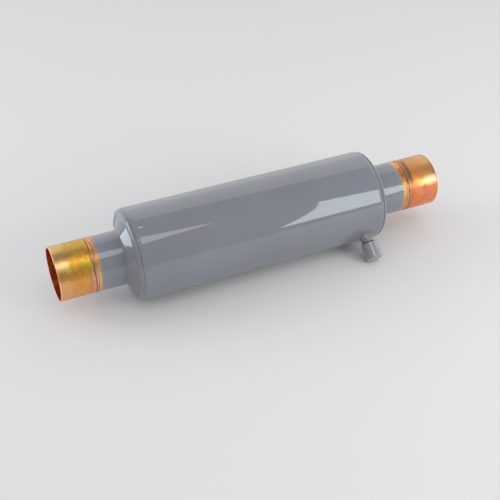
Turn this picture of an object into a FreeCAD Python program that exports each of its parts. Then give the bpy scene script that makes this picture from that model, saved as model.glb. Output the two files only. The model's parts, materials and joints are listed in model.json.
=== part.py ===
import FreeCAD, Part
import math
import os

# Suction filter: a welded steel shell with a copper solder socket at each end,
# a pleated element held inside by a spring, and a capped access valve near the
# inlet. Millimetres. The main axis is X, from the outlet socket mouth at zero
# to the inlet socket mouth; Z is up and the valve leans down towards -Y.

os.makedirs("parts", exist_ok=True)

V = FreeCAD.Vector

# Shell tube
SHELL_DIAMETER = 76.1
SHELL_LENGTH = 211.5
SHELL_WALL = 2.0
SHELL_EDGE_ROUND = 0.8

# End caps
CAP_WALL = 1.6
CAP_SKIRT = 7.0
CAP_FACE_ANGLE = 34.0
CAP_FACE_DROP = 5.65
CAP_FACE_OUT = 0.7
NECK_OVER_COPPER = 0.05
NECK_FILLET = 3.0
WELD_BEAD_OUT = 1.85
WELD_BEAD_HEIGHT = 4.9
WELD_BEAD_SHAPE = ((0.65, 0.12), (1.0, 0.37), (0.92, 0.63), (0.54, 0.86), (0.05, 1.0),
                   (-0.16, 0.94))

# Copper connections
SOCKET_LENGTH = 28.9
SEAM_FROM_RIM = 33.1
PIPE_DIAMETER = 42.0
COPPER_WALL = 0.95
PIPE_STOP = 2.1
SPIGOT_LENGTH = 12.0
MOUTH_CHAMFER = 0.3
BRAZE_WIDTH = 1.0
BRAZE_SINK = 0.2

# Access valve, its heights measured along its own axis from the shell's surface
VALVE_FROM_INLET_RIM = 12.6
STEM_DIAMETER = 10.7
STEM_HEIGHT = 15.95
STEM_TOP_CHAMFER = 0.6
STEM_SPIGOT_DIAMETER = 9.5
STEM_SPIGOT_SHOW = 0.6
STEM_BORE_DIAMETER = 4.4
STEM_THREAD_DIAMETER = 11.0
STEM_THREAD_RELIEF = 1.4
STEM_FILLET_WIDTH = 1.8
STEM_FILLET_HEIGHT = 1.5
VALVE_CAP_DIAMETER = 13.7
VALVE_CAP_HEIGHT = 5.85
VALVE_CAP_LENGTH = 14.4
VALVE_CAP_CORNER = 0.8
VALVE_CAP_LIP = 0.4
CAP_GASKET_THICKNESS = 0.9
CAP_GASKET_WIDTH = 2.2

# Valve core
CORE_THREAD_DIAMETER = 5.2
CORE_SEAT_DEPTH = 8.6
CORE_SEAT_TAPER = 1.0
CORE_PIN_DIAMETER = 1.2
CORE_PIN_LENGTH = 20.1
CORE_PIN_DROP = 0.7
CORE_PLUG_LENGTH = 4.0
CORE_TANG_LENGTH = 2.3
CORE_TANG_WIDTH = 2.2
CORE_BARREL_DIAMETER = 3.5
CORE_BARREL_WALL = 0.42
CORE_BARREL_FLOOR = 0.8
CORE_BARREL_LENGTH = 8.6
CORE_SEAL_LENGTH = 1.3
CORE_CUP_LENGTH = 2.6
CORE_PLUNGER_SEAL = 0.9
CORE_RIVET_WIDTH = 0.4
CORE_RIVET_LENGTH = 0.8
CORE_COLLAR_LENGTH = 0.6
CORE_SPRING_WIRE = 0.28
CORE_SPRING_LENGTH = 6.0
CORE_SPRING_TURNS = 7

# Filter element
SPRING_ROOM = 41.5
ELEMENT_SETBACK = 1.0
FLOW_GAP = 6.05
PLEAT_DEPTH = 12.5
PLEAT_PITCH = 3.65
FABRIC_THICKNESS = 0.9
DISC_THICKNESS = 1.0
DISC_RIM = 4.0
GASKET_WIDTH = 3.5
CORE_TUBE_WALL = 0.8
HOLE_ROWS = 9
HOLES_PER_ROW = 6
HOLE_DIAMETER = 8.0

# Spring that holds the element on its gasket
SPRING_WIRE = 2.2
SPRING_TURNS = 4.5
SPRING_BOSS_HEIGHT = 2.5
SPRING_SEAT_THICKNESS = 1.2
SPRING_SEAT_LIP = 1.6
SPRING_SEAT_INSET = 1.5
SPRING_SEAT_RIM = 5.05
SPRING_SEAT_LAND = 4.0

# Clearances
SOLDER_GAP = 0.05
BRAZE_GAP = 0.05
SLIP_GAP = 0.1
THREAD_GAP = 0.06
GUIDE_GAP = 0.15
SPRING_GAP = 0.03

# Derived sizes and places
shell_radius = SHELL_DIAMETER / 2
shell_bore = shell_radius - SHELL_WALL
socket_bore = PIPE_DIAMETER / 2 + SOLDER_GAP
socket_radius = socket_bore + COPPER_WALL
neck_radius = socket_radius + NECK_OVER_COPPER
neck_bore = neck_radius - CAP_WALL
seam = SOCKET_LENGTH
socket_depth = SOCKET_LENGTH - PIPE_STOP
outlet_rim = seam + SEAM_FROM_RIM
inlet_rim = outlet_rim + SHELL_LENGTH
overall_length = inlet_rim + outlet_rim
shoulder = seam - BRAZE_WIDTH / 2
neck_end = seam + BRAZE_WIDTH / 2
mirror_plane = V(overall_length / 2, 0, 0)
valve_x = inlet_rim - VALVE_FROM_INLET_RIM
stem_top = shell_radius + STEM_HEIGHT
valve_cap_start = shell_radius + VALVE_CAP_HEIGHT
valve_cap_end = valve_cap_start + VALVE_CAP_LENGTH


def rounded_outline(corners):
    """Closed outline through corners (x, y, radius), each rounded by its radius."""
    count = len(corners)
    turns = []
    for i, (x, y, radius) in enumerate(corners):
        here = V(x, y, 0)
        if not radius:
            turns.append((here, None, here))
            continue
        before = V(corners[i - 1][0], corners[i - 1][1], 0)
        after = V(corners[(i + 1) % count][0], corners[(i + 1) % count][1], 0)
        back = (before - here).normalize()
        on = (after - here).normalize()
        half = back.getAngle(on) / 2
        reach = radius / math.tan(half)
        centre = here + (back + on).normalize() * (radius / math.sin(half))
        nearest = centre + (here - centre).normalize() * radius
        turns.append((here + back * reach, nearest, here + on * reach))
    edges = []
    for i, (start, through, end) in enumerate(turns):
        if through:
            edges.append(Part.Arc(start, through, end).toShape())
        following = turns[(i + 1) % count][0]
        if (following - end).Length > 1e-6:
            edges.append(Part.makeLine(end, following))
    return Part.Wire(edges)


def turned(corners):
    """Solid turned about the X axis from corners (x, r) or (x, r, radius)."""
    full = [tuple(c) + (0,) * (3 - len(c)) for c in corners]
    return Part.Face(rounded_outline(full)).revolve(V(0, 0, 0), V(1, 0, 0), 360)


def ring(start, end, inner, outer):
    return turned([(start, inner), (end, inner), (end, outer), (start, outer)])


def rod(start, end, radius):
    return Part.makeCylinder(radius, end - start, V(start, 0, 0), V(1, 0, 0))


def at_inlet(shape):
    """The same piece at the inlet end, mirrored about the filter's middle."""
    return shape.mirror(mirror_plane, V(1, 0, 0))


def coil_spring(start, end, start_radius, end_radius, turns, wire_diameter):
    """Compression spring along X: an eight-sided wire swept along a helix that
    widens from one radius to the other, with its end half turns lying flat."""
    wire_radius = wire_diameter / 2
    steps_per_turn = 10
    rise = end - start - wire_diameter - 2 * SPRING_GAP
    points = []
    for i in range(int(turns * steps_per_turn) + 1):
        turn = i / steps_per_turn
        live = min(max((turn - 0.5) / (turns - 1), 0), 1)
        radius = start_radius + (end_radius - start_radius) * live
        angle = 2 * math.pi * turn
        points.append(V(start + SPRING_GAP + wire_radius + rise * live,
                        radius * math.cos(angle), radius * math.sin(angle)))
    curve = Part.BSplineCurve()
    curve.interpolate(points)
    path = Part.Wire(curve.toShape())
    along = curve.tangent(0)[0]
    out = V(0, 1, 0)
    side = along.cross(out).normalize()
    corners = []
    for i in range(9):
        angle = math.pi * (i % 8 + 0.5) / 4
        corners.append(points[0] + out * wire_radius * math.cos(angle)
                       + side * wire_radius * math.sin(angle))
    return Part.Solid(path.makePipeShell([Part.makePolygon(corners)], True, True))


# The valve leans so that the shell and the cap's far corner share one floor
corner_along = valve_cap_end - VALVE_CAP_CORNER
corner_across = VALVE_CAP_DIAMETER / 2 - VALVE_CAP_CORNER
valve_lean = (math.asin((shell_radius - VALVE_CAP_CORNER)
                        / math.hypot(corner_along, corner_across))
              - math.atan2(corner_across, corner_along))
valve_direction = V(0, -math.cos(valve_lean), -math.sin(valve_lean))
valve_placement = FreeCAD.Placement(
    V(valve_x, 0, 0), FreeCAD.Rotation(V(1, 0, 0), valve_direction))


def on_valve(shape):
    """Move a piece made about the X axis onto the valve's axis."""
    moved = shape.copy()
    moved.Placement = valve_placement
    return moved


nodes = {}

# Shell tube, with the hole that takes the access stem
stem_spigot = STEM_SPIGOT_DIAMETER / 2
shell_solid = rod(0, overall_length, shell_radius)
shell_blank = turned([
    (outlet_rim, shell_bore), (inlet_rim, shell_bore),
    (inlet_rim, shell_radius, SHELL_EDGE_ROUND),
    (outlet_rim, shell_radius, SHELL_EDGE_ROUND)])
stem_hole = on_valve(rod(shell_bore / 2, stem_top, stem_spigot + BRAZE_GAP))
nodes["shell_tube"] = shell_blank.cut(stem_hole)

# End cap: skirt inside the shell, a wide weld bead that rolls out from the rim,
# a conical face, and a fillet into the drawn neck that takes the copper spigot.
# The bead's shape is given in shares of how far out and how high it stands.
face_slope = math.tan(math.radians(CAP_FACE_ANGLE))
wall_along = CAP_WALL / math.cos(math.radians(CAP_FACE_ANGLE))
skirt_radius = shell_bore - BRAZE_GAP
skirt_bore = skirt_radius - CAP_WALL
face_radius = shell_radius - CAP_FACE_DROP
face_x = outlet_rim - CAP_FACE_OUT
bead = [(face_x - WELD_BEAD_OUT * out, face_radius + WELD_BEAD_HEIGHT * up)
        for out, up in WELD_BEAD_SHAPE]


def outer_face(radius):
    return face_x - face_slope * (face_radius - radius)


def inner_face(radius):
    return outer_face(radius) + wall_along


end_cap = turned([
    (neck_end, neck_bore), (neck_end, neck_radius),
    (outer_face(neck_radius), neck_radius, NECK_FILLET),
    (face_x, face_radius), *bead,
    (outlet_rim, bead[-1][1]), (outlet_rim, skirt_radius),
    (outlet_rim + CAP_SKIRT, skirt_radius), (outlet_rim + CAP_SKIRT, skirt_bore),
    (inner_face(skirt_bore), skirt_bore),
    (inner_face(neck_bore), neck_bore, NECK_FILLET + CAP_WALL)])
nodes["outlet_end_cap"] = end_cap
nodes["inlet_end_cap"] = at_inlet(end_cap)

# Copper connection: thin socket mouth, shoulder that stops the pipe, spigot
spigot_radius = neck_bore - BRAZE_GAP
spigot_bore = spigot_radius - COPPER_WALL
spigot_end = seam + SPIGOT_LENGTH
connection = turned([
    (0, socket_bore), (0, socket_radius - MOUTH_CHAMFER), (MOUTH_CHAMFER, socket_radius),
    (shoulder, socket_radius), (shoulder, spigot_radius),
    (spigot_end, spigot_radius), (spigot_end, spigot_bore),
    (socket_depth, spigot_bore), (socket_depth, socket_bore)])
nodes["outlet_connection"] = connection
nodes["inlet_connection"] = at_inlet(connection)

# Braze ring that fills the seam between the copper and the neck
braze_ring = ring(shoulder, neck_end, spigot_radius, neck_radius - BRAZE_SINK)
nodes["outlet_braze_ring"] = braze_ring
nodes["inlet_braze_ring"] = at_inlet(braze_ring)

# Access stem: saddle on the shell, spigot through its wall, threaded top that
# is plain at the thread's outer diameter, and a stepped bore for the core
stem_radius = STEM_DIAMETER / 2
thread_radius = STEM_THREAD_DIAMETER / 2
bore_radius = STEM_BORE_DIAMETER / 2
core_thread = CORE_THREAD_DIAMETER / 2
core_way = core_thread + THREAD_GAP
thread_start = valve_cap_start + STEM_THREAD_RELIEF
stem_inner_end = shell_bore - STEM_SPIGOT_SHOW
seat_top = stem_top - CORE_SEAT_DEPTH
seat_bottom = seat_top - CORE_SEAT_TAPER
stem_blank = on_valve(turned([
    (shell_bore, 0), (shell_bore, stem_radius), (thread_start, stem_radius),
    (thread_start, thread_radius), (stem_top - STEM_TOP_CHAMFER, thread_radius),
    (stem_top, thread_radius - STEM_TOP_CHAMFER), (stem_top, 0)]))
stem_spigot_rod = on_valve(rod(stem_inner_end, stem_top - 1, stem_spigot))
stem_bore = on_valve(turned([
    (0, 0), (0, bore_radius), (seat_bottom, bore_radius), (seat_top, core_way),
    (stem_top + 1, core_way), (stem_top + 1, 0)]))
nodes["access_stem"] = stem_blank.cut(shell_solid).fuse(stem_spigot_rod).cut(stem_bore)

# Braze fillet lying in the corner between the stem and the shell
fillet_radius = stem_radius + STEM_FILLET_WIDTH
fillet_blank = on_valve(turned([
    (shell_bore, stem_radius), (shell_radius + STEM_FILLET_HEIGHT, stem_radius),
    (shell_radius + STEM_FILLET_HEIGHT / 4, stem_radius + STEM_FILLET_WIDTH / 3),
    (shell_radius - STEM_FILLET_HEIGHT / 3, fillet_radius), (shell_bore, fillet_radius)]))
nodes["stem_braze_fillet"] = fillet_blank.cut(shell_solid)

# Valve cap, and the sealing washer under its crown
valve_cap_radius = VALVE_CAP_DIAMETER / 2
valve_cap_bore = thread_radius + THREAD_GAP
valve_cap_roof = stem_top + CAP_GASKET_THICKNESS
nodes["access_cap"] = on_valve(turned([
    (valve_cap_start, valve_cap_bore), (valve_cap_start, valve_cap_radius - VALVE_CAP_LIP),
    (valve_cap_start + VALVE_CAP_LIP, valve_cap_radius),
    (valve_cap_end, valve_cap_radius, VALVE_CAP_CORNER), (valve_cap_end, 0),
    (valve_cap_roof, 0), (valve_cap_roof, valve_cap_bore)]))
nodes["cap_gasket"] = on_valve(ring(
    stem_top, valve_cap_roof, valve_cap_bore - CAP_GASKET_WIDTH, valve_cap_bore))

# Valve core. The plug screws into the stem and holds the barrel down on its
# seal; the pin carries the plunger, and the spring keeps the plunger shut.
pin_radius = CORE_PIN_DIAMETER / 2
barrel_radius = CORE_BARREL_DIAMETER / 2
barrel_bore = barrel_radius - CORE_BARREL_WALL
pin_top = stem_top - CORE_PIN_DROP
pin_bottom = pin_top - CORE_PIN_LENGTH
rivet_top = pin_bottom + CORE_RIVET_LENGTH
cup_top = rivet_top + CORE_CUP_LENGTH
barrel_bottom = cup_top + CORE_PLUNGER_SEAL
barrel_top = barrel_bottom + CORE_BARREL_LENGTH
barrel_shelf = barrel_bottom + CORE_BARREL_FLOOR
plug_top = barrel_top + CORE_PLUG_LENGTH
tang_top = plug_top + CORE_TANG_LENGTH
collar_bottom = barrel_shelf + CORE_SPRING_LENGTH
collar_top = collar_bottom + CORE_COLLAR_LENGTH
collar_radius = barrel_bore - GUIDE_GAP
plug_tang = rod(barrel_top, tang_top, core_thread - SLIP_GAP).common(Part.makeBox(
    tang_top - barrel_top, CORE_THREAD_DIAMETER, CORE_TANG_WIDTH,
    V(barrel_top, -core_thread, -CORE_TANG_WIDTH / 2)))
plug_way = rod(0, stem_top, pin_radius + GUIDE_GAP)
nodes["core_plug"] = on_valve(
    rod(barrel_top, plug_top, core_thread).fuse(plug_tang).cut(plug_way))
nodes["core_barrel"] = on_valve(turned([
    (barrel_bottom, pin_radius + GUIDE_GAP), (barrel_bottom, barrel_radius),
    (barrel_top, barrel_radius), (barrel_top, barrel_bore),
    (barrel_shelf, barrel_bore), (barrel_shelf, pin_radius + GUIDE_GAP)]))
seal_bottom = barrel_top - CORE_SEAL_LENGTH
seat_rate = (core_way - bore_radius) / CORE_SEAT_TAPER
seal_small = bore_radius + seat_rate * max(seal_bottom - seat_bottom, 0)
nodes["core_barrel_seal"] = on_valve(turned([
    (seal_bottom, barrel_radius), (seal_bottom, seal_small), (seat_top, core_way),
    (barrel_top, core_way), (barrel_top, barrel_radius)]))
nodes["core_pin"] = on_valve(turned([
    (pin_bottom, 0), (pin_bottom, pin_radius + CORE_RIVET_WIDTH),
    (rivet_top, pin_radius + CORE_RIVET_WIDTH), (rivet_top, pin_radius),
    (collar_bottom, pin_radius), (collar_bottom, collar_radius),
    (collar_top, collar_radius), (collar_top, pin_radius),
    (pin_top, pin_radius), (pin_top, 0)]))
nodes["core_plunger_cup"] = on_valve(turned([
    (rivet_top, pin_radius), (rivet_top, pin_radius + CORE_RIVET_WIDTH),
    (rivet_top + CORE_CUP_LENGTH / 2, barrel_radius), (cup_top, barrel_radius),
    (cup_top, pin_radius)]))
nodes["core_plunger_seal"] = on_valve(
    ring(cup_top, barrel_bottom, pin_radius, barrel_radius - SLIP_GAP))
core_spring_radius = (pin_radius + barrel_bore) / 2
nodes["core_spring"] = on_valve(coil_spring(
    barrel_shelf, collar_bottom, core_spring_radius, core_spring_radius,
    CORE_SPRING_TURNS, CORE_SPRING_WIRE))

# Filter element: pleated felt around a perforated tube, between two end discs
gasket_face = outlet_rim + ELEMENT_SETBACK
element_start = gasket_face + DISC_THICKNESS
element_length = SHELL_LENGTH - SPRING_ROOM
element_end = element_start + element_length
pleat_tip = shell_bore - FLOW_GAP
pleat_root = pleat_tip - PLEAT_DEPTH
pleat_count = round(2 * math.pi * pleat_root / PLEAT_PITCH)
core_tube_radius = pleat_root - SLIP_GAP
core_tube_bore = core_tube_radius - CORE_TUBE_WALL


def pleat_face(tip_radius, tip_half, root_radius, root_half):
    """Face inside a zigzag whose flat tips and roots have these half widths."""
    tip = math.asin(tip_half / tip_radius)
    root = math.asin(root_half / root_radius)
    half_pleat = math.pi / pleat_count
    points = []
    for i in range(pleat_count):
        centre = 2 * half_pleat * i
        for radius, angle in ((tip_radius, centre - tip), (tip_radius, centre + tip),
                              (root_radius, centre + half_pleat - root),
                              (root_radius, centre + half_pleat + root)):
            points.append(V(element_start, radius * math.cos(angle),
                            radius * math.sin(angle)))
    return Part.Face(Part.makePolygon(points + points[:1]))


fold = FABRIC_THICKNESS / 2
felt_outside = pleat_face(pleat_tip, 3 * fold, pleat_root + 2 * fold, fold)
felt_inside = pleat_face(pleat_tip - 2 * fold, fold, pleat_root, 3 * fold)
nodes["pleated_element"] = felt_outside.cut(felt_inside).extrude(V(element_length, 0, 0))

row_pitch = element_length / HOLE_ROWS
drills = []
for row in range(HOLE_ROWS):
    centre = V(element_start + row_pitch * (row + 0.5), 0, 0)
    for hole in range(HOLES_PER_ROW // 2):
        angle = 2 * math.pi * (hole + row % 2 / 2) / HOLES_PER_ROW
        across = V(0, math.cos(angle), math.sin(angle))
        drills.append(Part.makeCylinder(
            HOLE_DIAMETER / 2, 2 * pleat_root, centre - across * pleat_root, across))
nodes["core_tube"] = ring(
    element_start, element_end, core_tube_bore, core_tube_radius).cut(drills)

disc_bore = pleat_tip + SLIP_GAP
disc_radius = disc_bore + DISC_THICKNESS
nodes["outlet_end_disc"] = turned([
    (gasket_face, core_tube_bore), (gasket_face, disc_radius),
    (element_start + DISC_RIM, disc_radius), (element_start + DISC_RIM, disc_bore),
    (element_start, disc_bore), (element_start, core_tube_bore)])
spring_small_radius = core_tube_bore - SPRING_WIRE
boss_radius = spring_small_radius - SPRING_WIRE / 2 - 2 * SLIP_GAP
disc_face = element_end + DISC_THICKNESS
nodes["inlet_end_disc"] = turned([
    (element_end, 0), (element_end, disc_bore), (element_end - DISC_RIM, disc_bore),
    (element_end - DISC_RIM, disc_radius), (disc_face, disc_radius),
    (disc_face, boss_radius), (disc_face + SPRING_BOSS_HEIGHT, boss_radius - DISC_THICKNESS),
    (disc_face + SPRING_BOSS_HEIGHT, 0)])

# Moulded gasket between the outlet disc and the sloping inside of the cap
gasket_inner = disc_radius - GASKET_WIDTH
nodes["element_gasket"] = turned([
    (inner_face(gasket_inner), gasket_inner), (gasket_face, gasket_inner),
    (gasket_face, disc_radius), (inner_face(disc_radius), disc_radius)])

# Spring seat resting on the inlet cap's slope, and the spring between it and
# the element's closed disc
seat_radius = skirt_bore - SPRING_SEAT_INSET
seat_back = overall_length - inner_face(seat_radius)
seat_front = seat_back - SPRING_SEAT_THICKNESS
lip_radius = seat_radius - SPRING_SEAT_RIM
lip_bore = lip_radius - DISC_THICKNESS
lip_front = seat_front - SPRING_SEAT_LIP
spring_large_radius = lip_bore - SPRING_WIRE / 2 - 2 * SLIP_GAP
seat_bore = spring_large_radius - SPRING_WIRE / 2 - SPRING_SEAT_LAND
nodes["spring_seat"] = turned([
    (seat_back, seat_bore), (seat_back, seat_radius), (seat_front, seat_radius),
    (seat_front, lip_radius), (lip_front, lip_radius), (lip_front, lip_bore),
    (seat_front, lip_bore), (seat_front, seat_bore)])
nodes["element_spring"] = coil_spring(
    disc_face, seat_front, spring_small_radius, spring_large_radius, SPRING_TURNS,
    SPRING_WIRE)

for name, shape in nodes.items():
    shape.exportStep("parts/" + name + ".step")
    print(name, len(shape.Solids), round(shape.Volume, 1), shape.isValid())
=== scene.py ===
import json
import math

import bmesh
import bpy
import numpy as np
from mathutils import Matrix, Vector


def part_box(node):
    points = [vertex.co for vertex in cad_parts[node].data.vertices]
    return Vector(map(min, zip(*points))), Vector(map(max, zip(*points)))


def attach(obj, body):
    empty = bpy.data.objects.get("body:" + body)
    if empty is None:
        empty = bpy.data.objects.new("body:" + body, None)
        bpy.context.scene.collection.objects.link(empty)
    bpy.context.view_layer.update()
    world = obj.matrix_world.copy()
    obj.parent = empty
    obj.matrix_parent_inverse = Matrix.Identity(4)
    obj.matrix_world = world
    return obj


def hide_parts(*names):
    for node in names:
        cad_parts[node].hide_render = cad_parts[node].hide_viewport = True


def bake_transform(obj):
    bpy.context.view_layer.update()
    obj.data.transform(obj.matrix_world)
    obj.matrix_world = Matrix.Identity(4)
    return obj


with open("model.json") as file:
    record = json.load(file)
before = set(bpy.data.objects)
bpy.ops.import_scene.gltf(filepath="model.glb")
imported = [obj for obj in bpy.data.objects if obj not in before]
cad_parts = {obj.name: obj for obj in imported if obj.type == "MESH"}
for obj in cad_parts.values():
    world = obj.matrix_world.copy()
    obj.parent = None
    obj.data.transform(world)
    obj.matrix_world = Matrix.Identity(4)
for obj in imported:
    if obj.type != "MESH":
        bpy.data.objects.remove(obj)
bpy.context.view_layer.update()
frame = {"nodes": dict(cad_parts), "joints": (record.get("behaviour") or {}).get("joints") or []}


# Shell tube. Welded steel tube, sprayed glossy mid grey together with its end
# caps once they are welded in. The weld's heat drew its last millimetres in a
# hair and rounded its rims.
MM = 0.001
shell_low, shell_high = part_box("shell_tube")
RIM_OUTLET, RIM_INLET = shell_low[0], shell_high[0]
SHELL_R = (shell_high[2] - shell_low[2]) / 2
SHELL_WALL = 2.0 * MM
RIM_ROUND = 0.8 * MM
BORE_EDGE = 0.2 * MM
ROLL_LENGTH = 3.4 * MM
ROLL_DEPTH = 0.54 * MM
RIM_STEP = 0.5 * MM
AROUND = 288
PAINT_GREY = (0.185, 0.199, 0.237)
PAINT_THIN = (0.178, 0.188, 0.221)
PEEL = 0.010 * MM


def outline(corners, step=3.0 * MM, arc_points=6):
    """Closed profile from corners (x, r, radius) or (x, r, radius, step): an arc
    of the corner's radius at each corner, and straight runs with a point near
    each end and one every step between. A corner's own step is for the run that
    follows it."""
    full = [tuple(c) + (step,) * (4 - len(c)) for c in corners]
    count = len(full)
    arcs = []
    for i, (x, r, radius, _) in enumerate(full):
        here = np.array((x, r))
        if radius == 0:
            arcs.append(here[None])
            continue
        back = np.array(full[i - 1][:2]) - here
        on = np.array(full[(i + 1) % count][:2]) - here
        back, on = back / np.linalg.norm(back), on / np.linalg.norm(on)
        half = math.acos(np.clip(back @ on, -1, 1)) / 2
        reach = radius / math.tan(half)
        middle = (back + on) / np.linalg.norm(back + on)
        centre = here + middle * radius / math.sin(half)
        first, last = here + back * reach - centre, here + on * reach - centre
        turn = math.atan2(last[1], last[0]) - math.atan2(first[1], first[0])
        turn = (turn + math.pi) % (2 * math.pi) - math.pi
        angles = math.atan2(first[1], first[0]) + turn * np.linspace(0, 1, arc_points)
        arcs.append(centre + radius * np.stack([np.cos(angles), np.sin(angles)], 1))
    points = []
    for i, arc in enumerate(arcs):
        start, end = arc[-1], arcs[(i + 1) % count][0]
        length = np.linalg.norm(end - start)
        guard = min(0.12 * MM, length / 4)
        inner = max(int((length - 2 * guard) / full[i][3]), 1)
        along = np.concatenate([[guard], guard + (length - 2 * guard)
                                * np.arange(1, inner + 1) / inner]) / length
        points += [arc, start + (end - start) * along[:, None]]
    return np.concatenate(points)


def skin(name, points, wrap=True, poles=False):
    """Mesh of a grid of points: the first index runs along the profile and the
    second around. Both close on themselves, unless wrap is off for the first;
    poles merges rows that have shrunk to one point. Faces are turned outwards
    where the volume that they enclose comes out below zero."""
    rows, turns = points.shape[:2]
    index = np.arange(rows * turns).reshape(rows, turns)
    if wrap:
        index = np.concatenate([index, index[:1]])
    index = np.concatenate([index, index[:, :1]], 1)
    faces = np.stack([index[:-1, :-1], index[:-1, 1:], index[1:, 1:], index[1:, :-1]],
                     -1).reshape(-1, 4)
    flat = points.reshape(-1, 3)
    a, b, c, d = (flat[faces[:, k]] - flat.mean(0) for k in range(4))
    volume = (np.einsum("ij,ij->i", a, np.cross(b, c)).sum()
              + np.einsum("ij,ij->i", a, np.cross(c, d)).sum())
    if volume < 0:
        faces = faces[:, ::-1]
    mesh = bpy.data.meshes.new(name)
    mesh.from_pydata(flat.tolist(), [], faces.tolist())
    if poles:
        work = bmesh.new()
        work.from_mesh(mesh)
        bmesh.ops.remove_doubles(work, verts=work.verts, dist=1e-7)
        work.to_mesh(mesh)
        work.free()
    mesh.shade_smooth()
    piece = bpy.data.objects.new(name, mesh)
    bpy.context.scene.collection.objects.link(piece)
    return piece


def turned(profile, around=AROUND, swell=None):
    """Grid of a profile turned about X: point (i, j) lies at profile x i, at
    radius i plus the swell there, and at angle 2 pi j / around."""
    angle = 2 * math.pi * np.arange(around) / around
    x = np.repeat(profile[:, :1], around, 1)
    r = np.repeat(profile[:, 1:], around, 1)
    if swell is not None:
        r = r + swell(x, r, angle[None, :])
    return np.stack([x, r * np.cos(angle), r * np.sin(angle)], -1)


class Link:
    """A node's output socket; arithmetic on it adds Math nodes."""

    def __init__(self, shades, socket):
        self.shades, self.socket = shades, socket

    def math(self, operation, *others):
        return self.shades.add("ShaderNodeMath", {"operation": operation}, self, *others)[0]

    def __add__(self, other):
        return self.math("ADD", other)

    def __sub__(self, other):
        return self.math("SUBTRACT", other)

    def __rsub__(self, other):
        return self.shades.add("ShaderNodeMath", {"operation": "SUBTRACT"}, other, self)[0]

    def __mul__(self, other):
        return self.math("MULTIPLY", other)

    def __truediv__(self, other):
        return self.math("DIVIDE", other)

    def __rtruediv__(self, other):
        return self.shades.add("ShaderNodeMath", {"operation": "DIVIDE"}, other, self)[0]

    def __pow__(self, other):
        return self.math("POWER", other)

    __radd__ = __add__
    __rmul__ = __mul__

    def step(self, low, high):
        """0 below low, 1 above high, and smooth between."""
        return self.shades.add("ShaderNodeMapRange", {"interpolation_type": "SMOOTHSTEP"},
                               self, low, high)[0]


class Shades:
    """The nodes of one material or world, each added by the same call."""

    def __init__(self, tree):
        self.tree = tree

    def put(self, socket, value):
        if isinstance(value, Link):
            self.tree.links.new(value.socket, socket)
        elif isinstance(value, tuple) and len(value) == 3 and socket.type == "RGBA":
            socket.default_value = (*value, 1)
        else:
            socket.default_value = value

    def add(self, kind, settings, *values):
        """A node of this kind: settings first, then the values of its sockets in
        their order, or by name in a dict at the end."""
        node = self.tree.nodes.new(kind)
        for key, value in settings.items():
            setattr(node, key, value)
        named = dict(values[-1]) if values and isinstance(values[-1], dict) else {}
        plain = values[:-1] if named else values
        for key, value in list(enumerate(plain)) + list(named.items()):
            self.put(node.inputs[key], value)
        return [Link(self, out) for out in node.outputs]

    def place(self, stretch=(1, 1, 1)):
        """Object coordinates, stretched."""
        here = self.add("ShaderNodeTexCoord", {})[3]
        return self.add("ShaderNodeMapping", {}, here, {"Scale": stretch})[0]

    def split(self, vector):
        return self.add("ShaderNodeSeparateXYZ", {}, vector)

    def noise(self, where, scale, detail=2.0, rough=0.5, warp=0.0):
        return self.add("ShaderNodeTexNoise", {}, {
            "Vector": where, "Scale": scale, "Detail": detail, "Roughness": rough,
            "Distortion": warp})[0]

    def mix(self, factor, first, second):
        """The first colour where factor is 0 and the second where it is 1."""
        return self.add("ShaderNodeMix", {"data_type": "RGBA"},
                        {0: factor, 6: first, 7: second})[2]


class Finish(Shades):
    """A material's nodes, added one by one onto its Principled shader."""

    def __init__(self, name, **constants):
        self.material = bpy.data.materials.new(name)
        self.material.use_nodes = True
        super().__init__(self.material.node_tree)
        self.shader = self.tree.nodes["Principled BSDF"]
        self.set(**constants)

    def set(self, **values):
        for key, value in values.items():
            self.put(self.shader.inputs[key.replace("_", " ")], value)

    def bump(self, height, distance):
        self.set(Normal=self.add("ShaderNodeBump", {}, {
            "Distance": distance, "Height": height})[0])


def two_tone(finish, here, scale, detail, low, high, first, second):
    """Two shades in soft patches: the first below low in the noise and the second
    above high."""
    return finish.mix(finish.noise(here, scale, detail).step(low, high), first, second)


def enamel(name, gloss=0.03):
    """Sprayed enamel's clear gloss; its shade and its surface are added to it."""
    return Finish(name, Coat_Weight=1.0, Coat_Roughness=gloss, Coat_IOR=1.6,
                  Specular_IOR_Level=0.2)


def orange_peel(paint):
    """The fine waviness of a sprayed coat, in two sizes."""
    here = paint.place()
    paint.bump(paint.noise(here, 420.0, 1.0) + paint.noise(here, 90.0, 1.0) * 1.5, PEEL)


def paint_drift(paint, here):
    """The slow drift of the grey coat between its full and its thin shade."""
    return two_tone(paint, here, 16.0, 3.0, 0.35, 0.7, PAINT_GREY, PAINT_THIN)


def rim_roll(x, r, angle):
    """A straight taper of the outer side towards each rim: ROLL_DEPTH at the rim,
    and nothing from ROLL_LENGTH on."""
    from_rim = np.minimum(x - RIM_OUTLET, RIM_INLET - x)
    near = np.clip(1 - from_rim / ROLL_LENGTH, 0, 1)
    return -ROLL_DEPTH * near * (r > SHELL_R - SHELL_WALL / 2)


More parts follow.
